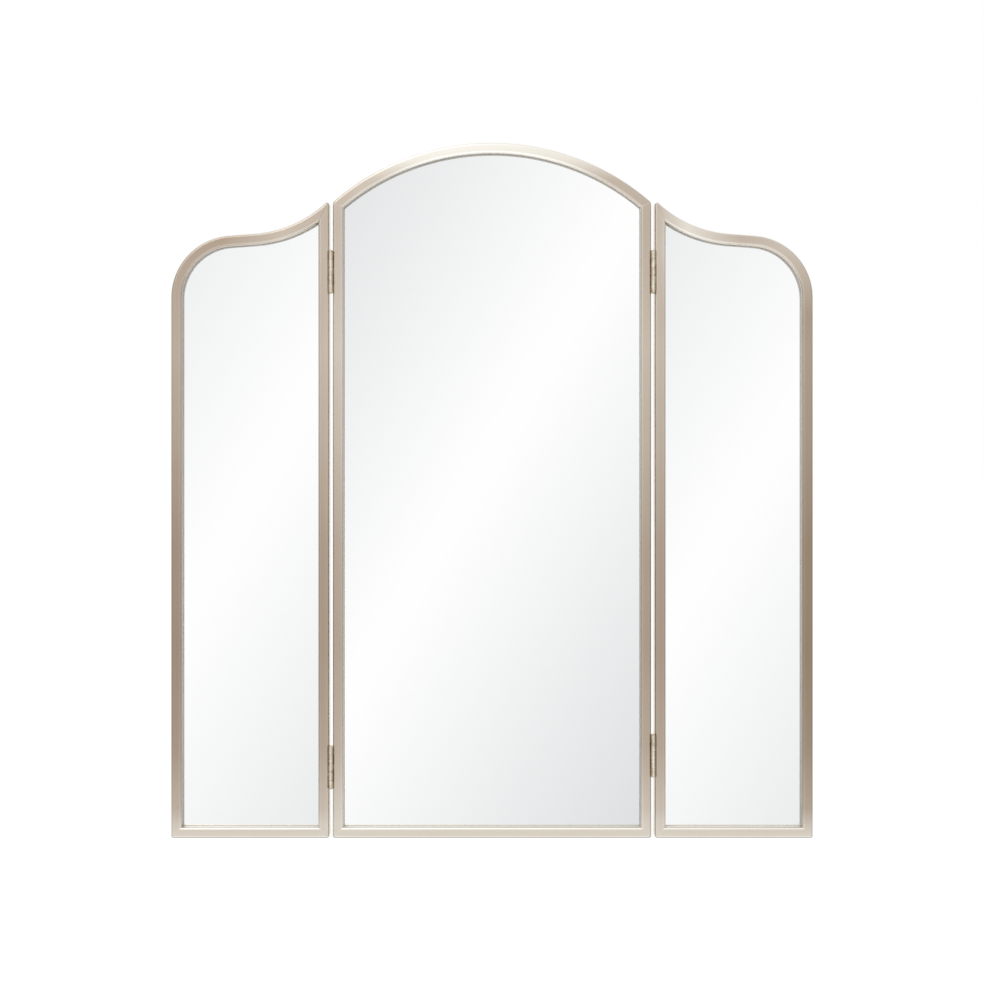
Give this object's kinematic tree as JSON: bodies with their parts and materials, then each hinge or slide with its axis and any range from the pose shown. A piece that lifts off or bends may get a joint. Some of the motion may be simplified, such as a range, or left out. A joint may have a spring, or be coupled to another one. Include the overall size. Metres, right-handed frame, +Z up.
{
  "type": "folding vanity mirror",
  "caption": "Folding vanity mirror: an arched centre panel between shaped wings, each an unbevelled mirror in a thin champagne metal frame, on small butt hinges.",
  "frame": {"origin": "under the middle of the box round the opened mirror: on the centre line of the centre panel, halfway through the depth, at the height of the undersides of the frames", "axes": "+X across the panels to the viewer's right, +Y from the mirror side to the back, so that the front faces -Y, +Z up"},
  "size_m": [0.762, 0.0276, 0.826],
  "materials": {
    "frame_metal": "brushed and anodised in a pale champagne colour",
    "mirror_glass": "silvered float glass without a bevel",
    "glazing_tape": "dark foam tape, matte",
    "backing_board": "thin hardboard with its smooth side out",
    "spring_steel": "blued spring steel strip",
    "corner_key": "zinc plated pressed steel",
    "plated_screw": "plated steel",
    "hinge_leaf": "champagne plated, lightly polished at the knuckles",
    "hinge_pin": "plated steel with flat heads"
  },
  "bodies": {
    "centre_panel": {"centre_left_stile": "frame_metal", "centre_right_stile": "frame_metal", "centre_bottom_rail": "frame_metal", "centre_arch_rail": "frame_metal", "centre_glass": "mirror_glass", "centre_tape": "glazing_tape", "centre_backing": "backing_board", "centre_springs": "spring_steel", "centre_corner_keys": "corner_key", "centre_key_screws": "plated_screw", "centre_hinge_screws": "plated_screw", "left_upper_hinge_centre_leaf": "hinge_leaf", "left_upper_hinge_pin": "hinge_pin", "left_lower_hinge_centre_leaf": "hinge_leaf", "left_lower_hinge_pin": "hinge_pin", "right_upper_hinge_centre_leaf": "hinge_leaf", "right_upper_hinge_pin": "hinge_pin", "right_lower_hinge_centre_leaf": "hinge_leaf", "right_lower_hinge_pin": "hinge_pin"},
    "left_wing": {"left_wing_stile": "frame_metal", "left_wing_bent_rail": "frame_metal", "left_wing_bottom_rail": "frame_metal", "left_wing_glass": "mirror_glass", "left_wing_tape": "glazing_tape", "left_wing_backing": "backing_board", "left_wing_springs": "spring_steel", "left_wing_corner_keys": "corner_key", "left_wing_key_screws": "plated_screw", "left_wing_hinge_screws": "plated_screw", "left_upper_hinge_wing_leaf": "hinge_leaf", "left_lower_hinge_wing_leaf": "hinge_leaf"},
    "right_wing": {"right_wing_stile": "frame_metal", "right_wing_bent_rail": "frame_metal", "right_wing_bottom_rail": "frame_metal", "right_wing_glass": "mirror_glass", "right_wing_tape": "glazing_tape", "right_wing_backing": "backing_board", "right_wing_springs": "spring_steel", "right_wing_corner_keys": "corner_key", "right_wing_key_screws": "plated_screw", "right_wing_hinge_screws": "plated_screw", "right_upper_hinge_wing_leaf": "hinge_leaf", "right_lower_hinge_wing_leaf": "hinge_leaf"}
  },
  "joints": [
    {"name": "left_wing_fold", "type": "hinge", "parent": "centre_panel", "child": "left_wing", "pos_m": [-0.19125, -0.01103, 0.378], "axis": [0, 0, 1], "range_deg": [-4, 180]},
    {"name": "right_wing_fold", "type": "hinge", "parent": "centre_panel", "child": "right_wing", "pos_m": [0.19125, -0.01103, 0.385], "axis": [0, 0, -1], "range_deg": [-4, 180]}
  ]
}
